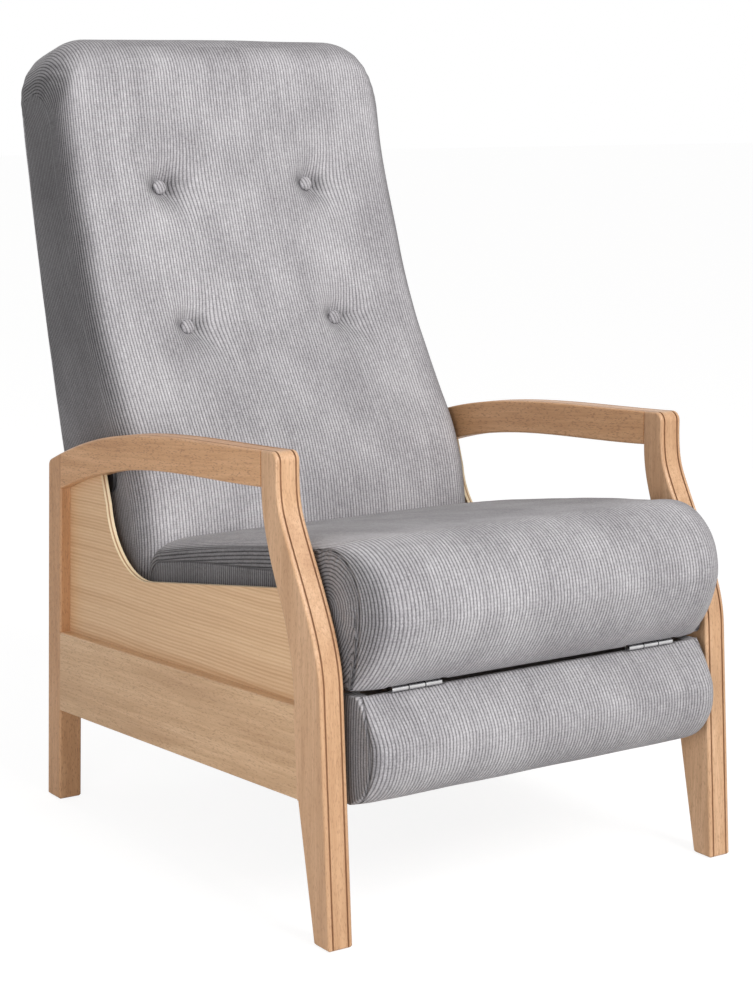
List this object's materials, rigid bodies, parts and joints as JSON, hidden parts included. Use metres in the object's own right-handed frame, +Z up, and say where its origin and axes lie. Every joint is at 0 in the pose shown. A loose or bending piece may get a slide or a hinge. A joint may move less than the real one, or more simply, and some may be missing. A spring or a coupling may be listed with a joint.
{
  "type": "reclining armchair",
  "caption": "Push-back recliner: bowed wooden side frames, rolled-front seat, buttoned high back and a hinged footrest that rises as the back leans",
  "frame": {"origin": "middle of the footprint on the floor", "axes": "+X sitter's left, -Y the way the chair faces, +Z up"},
  "size_m": [0.63, 0.9559, 1.0742],
  "materials": {
    "corduroy": "wide-rib corduroy",
    "beech": "satin lacquer",
    "veneer": "satin lacquer",
    "frame_wood": "sawn",
    "board": "plain board",
    "glide_plastic": "matt",
    "dark_cloth": "felt",
    "elastic": "woven",
    "bright_steel": "zinc plated",
    "dark_steel": "black"
  },
  "bodies": {
    "frame": {"foot_glides": "glide_plastic", "frame_dowels": "frame_wood", "frame_screws": "dark_steel", "front_stretcher": "frame_wood", "left_arm": "beech", "left_front_leg": "beech", "left_pivot_bracket": "dark_steel", "left_rear_leg": "beech", "left_seat_runner": "frame_wood", "left_side_panel": "veneer", "left_side_rail": "beech", "rear_stretcher": "frame_wood", "right_arm": "beech", "right_front_leg": "beech", "right_pivot_bracket": "dark_steel", "right_rear_leg": "beech", "right_seat_runner": "frame_wood", "right_side_panel": "veneer", "right_side_rail": "beech"},
    "seat": {"back_pivot_bolts": "dark_steel", "hinge_pins": "bright_steel", "left_back_hinge_plate": "dark_steel", "left_seat_rail": "frame_wood", "right_back_hinge_plate": "dark_steel", "right_seat_rail": "frame_wood", "seat_cushion": "corduroy", "seat_felt": "dark_cloth", "seat_front_rail": "frame_wood", "seat_glides": "glide_plastic", "seat_hinge_leaves": "bright_steel", "seat_rear_rail": "frame_wood", "seat_screws": "dark_steel", "seat_springs": "dark_steel", "spring_clips": "dark_steel"},
    "footrest": {"footrest_board": "board", "footrest_brackets": "dark_steel", "footrest_cover": "dark_cloth", "footrest_cushion": "corduroy", "footrest_hinge_leaves": "bright_steel", "footrest_screws": "dark_steel", "link_front_pins": "dark_steel"},
    "left_link": {"left_link_bar": "dark_steel", "left_link_pin": "dark_steel"},
    "right_link": {"right_link_bar": "dark_steel", "right_link_pin": "dark_steel"},
    "backrest": {"back_board": "board", "back_bottom_rail": "frame_wood", "back_buttons": "corduroy", "back_cushion": "corduroy", "back_middle_rail": "frame_wood", "back_rear_cover": "corduroy", "back_screws": "dark_steel", "back_straps": "elastic", "back_top_rail": "frame_wood", "left_back_stile": "frame_wood", "left_recline_lever": "dark_steel", "right_back_stile": "frame_wood", "right_recline_lever": "dark_steel"}
  },
  "joints": [
    {"name": "back_recline", "type": "hinge", "parent": "seat", "child": "backrest", "pos_m": [0, 0.21745, 0.345], "axis": [-1, 0, 0], "range_deg": [0, 28]},
    {"name": "seat_slide", "type": "slide", "parent": "frame", "child": "seat", "axis": [0, -1, 0], "range_m": [0, 0.065]},
    {"name": "footrest_swing", "type": "hinge", "parent": "seat", "child": "footrest", "pos_m": [0, -0.41055, 0.3], "axis": [-1, 0, 0], "range_deg": [0, 76.2]},
    {"name": "left_link_pivot", "type": "hinge", "parent": "footrest", "child": "left_link", "pos_m": [0, -0.37455, 0.2362], "axis": [1, 0, 0], "range_deg": [0, 76.3]},
    {"name": "right_link_pivot", "type": "hinge", "parent": "footrest", "child": "right_link", "pos_m": [0, -0.37455, 0.2362], "axis": [1, 0, 0], "range_deg": [0, 76.3]}
  ],
  "couplings": [
    {"joint": "seat_slide", "follows": "back_recline", "m_per_rad": 0.133},
    {"joint": "footrest_swing", "follows": "back_recline", "ratio": 2.7194},
    {"joint": "left_link_pivot", "follows": "back_recline", "ratio": 2.7214},
    {"joint": "right_link_pivot", "follows": "back_recline", "ratio": 2.7214}
  ]
}
